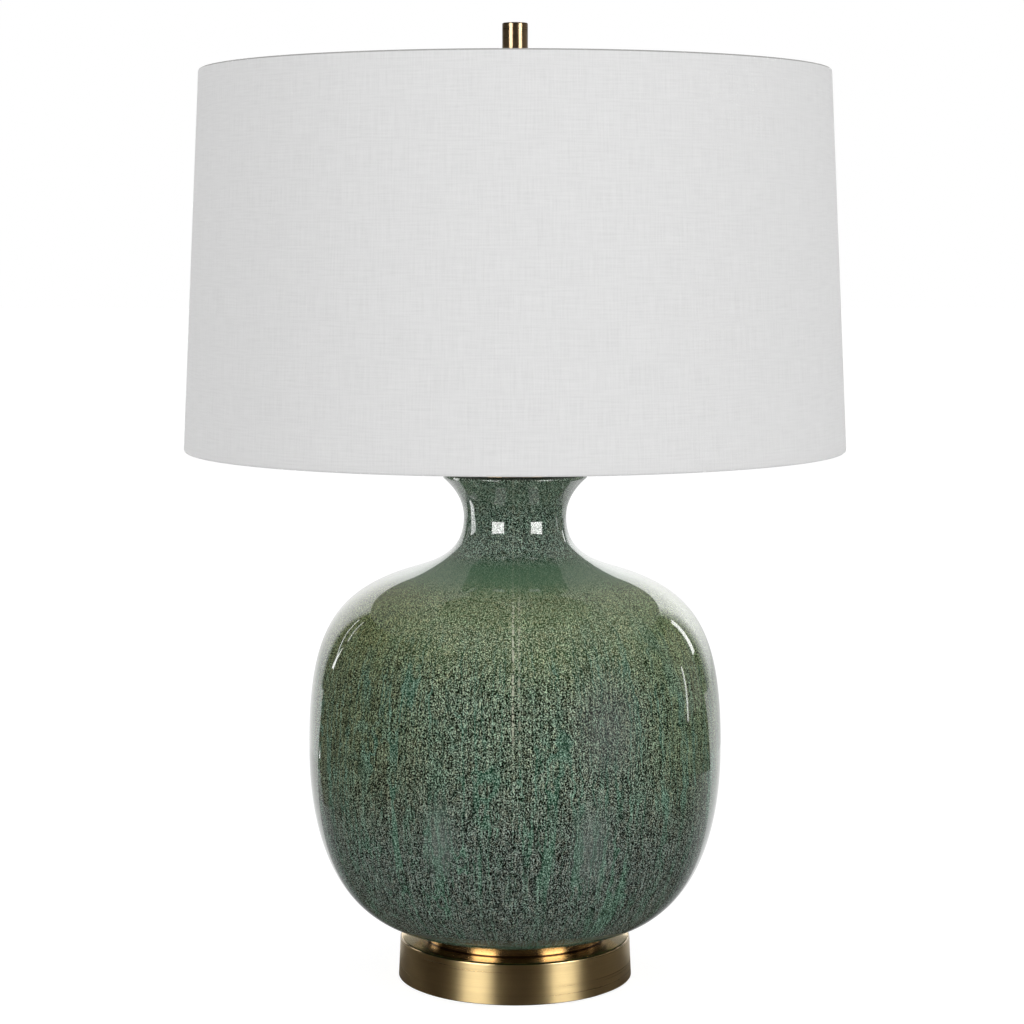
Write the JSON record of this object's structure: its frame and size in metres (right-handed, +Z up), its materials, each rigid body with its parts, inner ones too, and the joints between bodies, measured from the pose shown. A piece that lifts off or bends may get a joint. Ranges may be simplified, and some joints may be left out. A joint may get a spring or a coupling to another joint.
{
  "type": "table lamp",
  "caption": "Free-standing table lamp: a rounded glazed ceramic body on a turned brass base, with a tapered linen drum shade held on a harp by a brass finial.",
  "frame": {"origin": "centre of the felt pad's underside, on the table", "axes": "+Z up along the lamp's axis, front towards -Y with the switch knob, cord inlet towards +Y"},
  "size_m": [0.4572, 0.4572, 0.6654],
  "materials": {
    "felt": "dense wool felt",
    "fibreboard": "hard fibreboard",
    "antique_brass": "antique brass, brushed round the turning axis, lacquered",
    "bushing_plastic": "moulded",
    "cast_iron": "as cast",
    "zinc_steel": "zinc plated",
    "gasket_rubber": "matte",
    "glaze": "clear gloss over a running, speckled green glaze",
    "harp_brass": "bright plated wire",
    "socket_brass": "polished",
    "socket_card": "insulating fibre",
    "phenolic": "moulded phenolic",
    "contact_metal": "stamped",
    "bulb_insulator": "fused glass insulator with a solder tip",
    "bulb_glass": "frosted white",
    "linen": "plain woven white linen",
    "shade_styrene": "white, matte",
    "spider_steel": "brass plated wire"
  },
  "bodies": {
    "root": {"felt_pad": "felt", "bottom_cover": "fibreboard", "base_plinth": "antique_brass", "cord_bushing": "bushing_plastic", "base_weight": "cast_iron", "flat_washer": "zinc_steel", "lock_washer": "zinc_steel", "hex_nut": "zinc_steel", "threaded_rod": "zinc_steel", "base_collar": "antique_brass", "foot_gasket": "gasket_rubber", "ceramic_body": "glaze", "vase_cap": "antique_brass", "neck_tube": "antique_brass", "harp_saddle": "harp_brass", "harp_wire": "harp_brass", "harp_stud": "harp_brass", "socket_cap": "socket_brass", "socket_shell": "socket_brass", "socket_liner": "socket_card", "socket_interior": "phenolic", "terminal_screws": "zinc_steel", "screw_shell": "contact_metal", "center_contact": "contact_metal"},
    "finial": {"finial": "antique_brass"},
    "shade": {"shade_linen": "linen", "shade_liner": "shade_styrene", "shade_top_ring": "spider_steel", "shade_bottom_ring": "spider_steel", "shade_top_hem": "linen", "shade_bottom_hem": "linen", "spider_arms": "spider_steel", "spider_hub": "spider_steel"},
    "knob": {"switch_knob": "phenolic"},
    "bulb": {"bulb_globe": "bulb_glass", "bulb_cap": "contact_metal", "bulb_contact": "bulb_insulator"},
    "sleeve_left": {"harp_sleeve_left": "harp_brass"},
    "sleeve_right": {"harp_sleeve_right": "harp_brass"}
  },
  "joints": [
    {"name": "finial_lift", "type": "slide", "parent": "root", "child": "finial", "axis": [0, 0, 1], "range_m": [0, 0.28]},
    {"name": "shade_turn", "type": "hinge", "parent": "finial", "child": "shade", "pos_m": [0, 0, 0.6247], "axis": [0, 0, 1], "continuous": true},
    {"name": "knob_turn", "type": "hinge", "parent": "root", "child": "knob", "pos_m": [0, -0.02, 0.40288], "axis": [0, -1, 0], "continuous": true},
    {"name": "bulb_turn", "type": "hinge", "parent": "root", "child": "bulb", "pos_m": [0, 0, 0.446], "axis": [0, 0, 1], "continuous": true},
    {"name": "sleeve_left_slide", "type": "slide", "parent": "root", "child": "sleeve_left", "axis": [0, 0, 1], "range_m": [0, 0.014]},
    {"name": "sleeve_right_slide", "type": "slide", "parent": "root", "child": "sleeve_right", "axis": [0, 0, 1], "range_m": [0, 0.014]}
  ]
}
